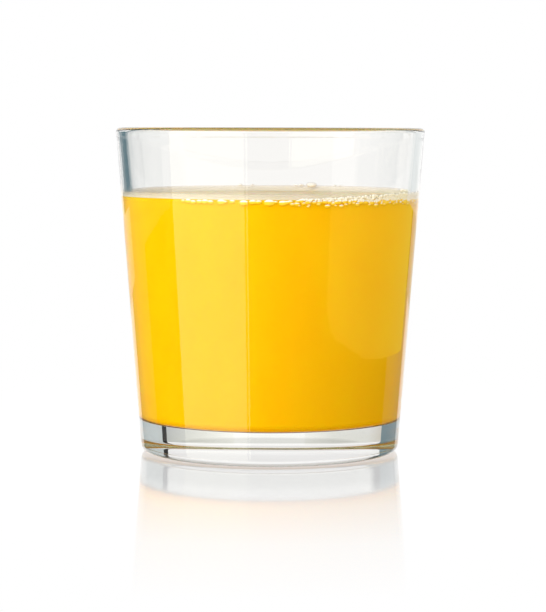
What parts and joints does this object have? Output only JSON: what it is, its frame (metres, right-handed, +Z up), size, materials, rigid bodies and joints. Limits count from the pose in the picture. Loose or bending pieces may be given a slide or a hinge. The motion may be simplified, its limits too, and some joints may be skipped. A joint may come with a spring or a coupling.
{
  "type": "glass of orange juice",
  "caption": "Clear tapered tumbler with a thick base and a beaded rim, filled with orange juice to about four fifths of its height.",
  "frame": {"origin": "centre of the glass's base, on the surface that it stands on", "axes": "+Z up along the glass's axis, from the base to the rim; the glass is round about Z, so X and Y are free"},
  "size_m": [0.0838, 0.0838, 0.088],
  "materials": {
    "clear_glass": "clear soda-lime glass with a fire-polished surface, faintly grey-green in its thickness",
    "juice": "cloudy orange juice: opaque bright yellow-orange liquid with a wet surface"
  },
  "bodies": {
    "root": {"tumbler": "clear_glass", "orange_juice": "juice"}
  },
  "joints": []
}
